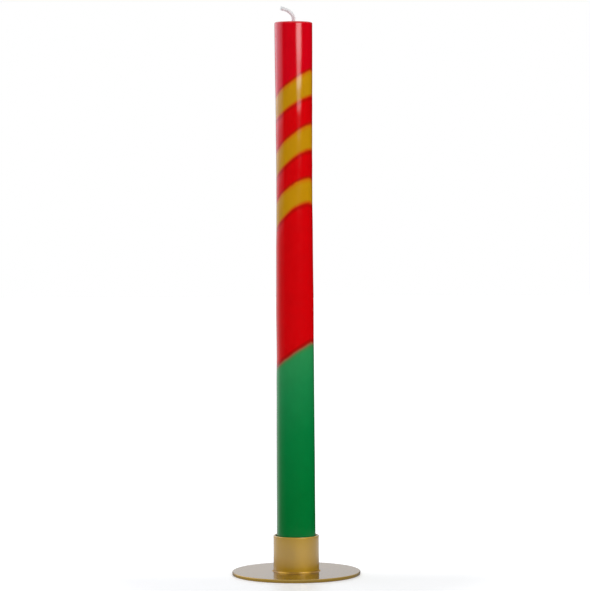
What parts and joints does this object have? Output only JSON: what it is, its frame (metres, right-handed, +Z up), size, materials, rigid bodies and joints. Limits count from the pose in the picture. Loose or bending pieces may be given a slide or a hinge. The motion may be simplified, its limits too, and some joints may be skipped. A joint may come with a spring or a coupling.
{
  "type": "taper candle",
  "caption": "Straight dinner candle with slanted dip-dyed stripes and a bent wick, standing in a low metal holder with a thin round base and a short tube socket.",
  "frame": {"origin": "centre of the holder's flat underside", "axes": "+Z up along the candle, -Y towards the viewer in the picture, so that the wick bends towards -X"},
  "size_m": [0.075, 0.075, 0.3313],
  "materials": {
    "satin_brass": "satin, lightly brushed",
    "plain_wax": "smooth uncoloured wax",
    "red_wax": "glossy dipped wax",
    "mustard_wax": "glossy dipped wax",
    "green_wax": "glossy dipped wax",
    "braided_cotton": "waxed braided cotton"
  },
  "bodies": {
    "holder": {"base_disc": "satin_brass", "socket_tube": "satin_brass", "braze_fillet": "satin_brass"},
    "candle": {"candle_core": "plain_wax", "red_base_coat": "red_wax", "mustard_coat_upper": "mustard_wax", "red_coat_upper": "red_wax", "mustard_coat_middle": "mustard_wax", "red_coat_middle": "red_wax", "mustard_coat_lower": "mustard_wax", "red_coat_lower": "red_wax", "green_coat": "green_wax", "wick": "braided_cotton"}
  },
  "joints": [
    {"name": "candle_lift", "type": "slide", "parent": "holder", "child": "candle", "axis": [0, 0, 1], "range_m": [0, 0.035]}
  ]
}
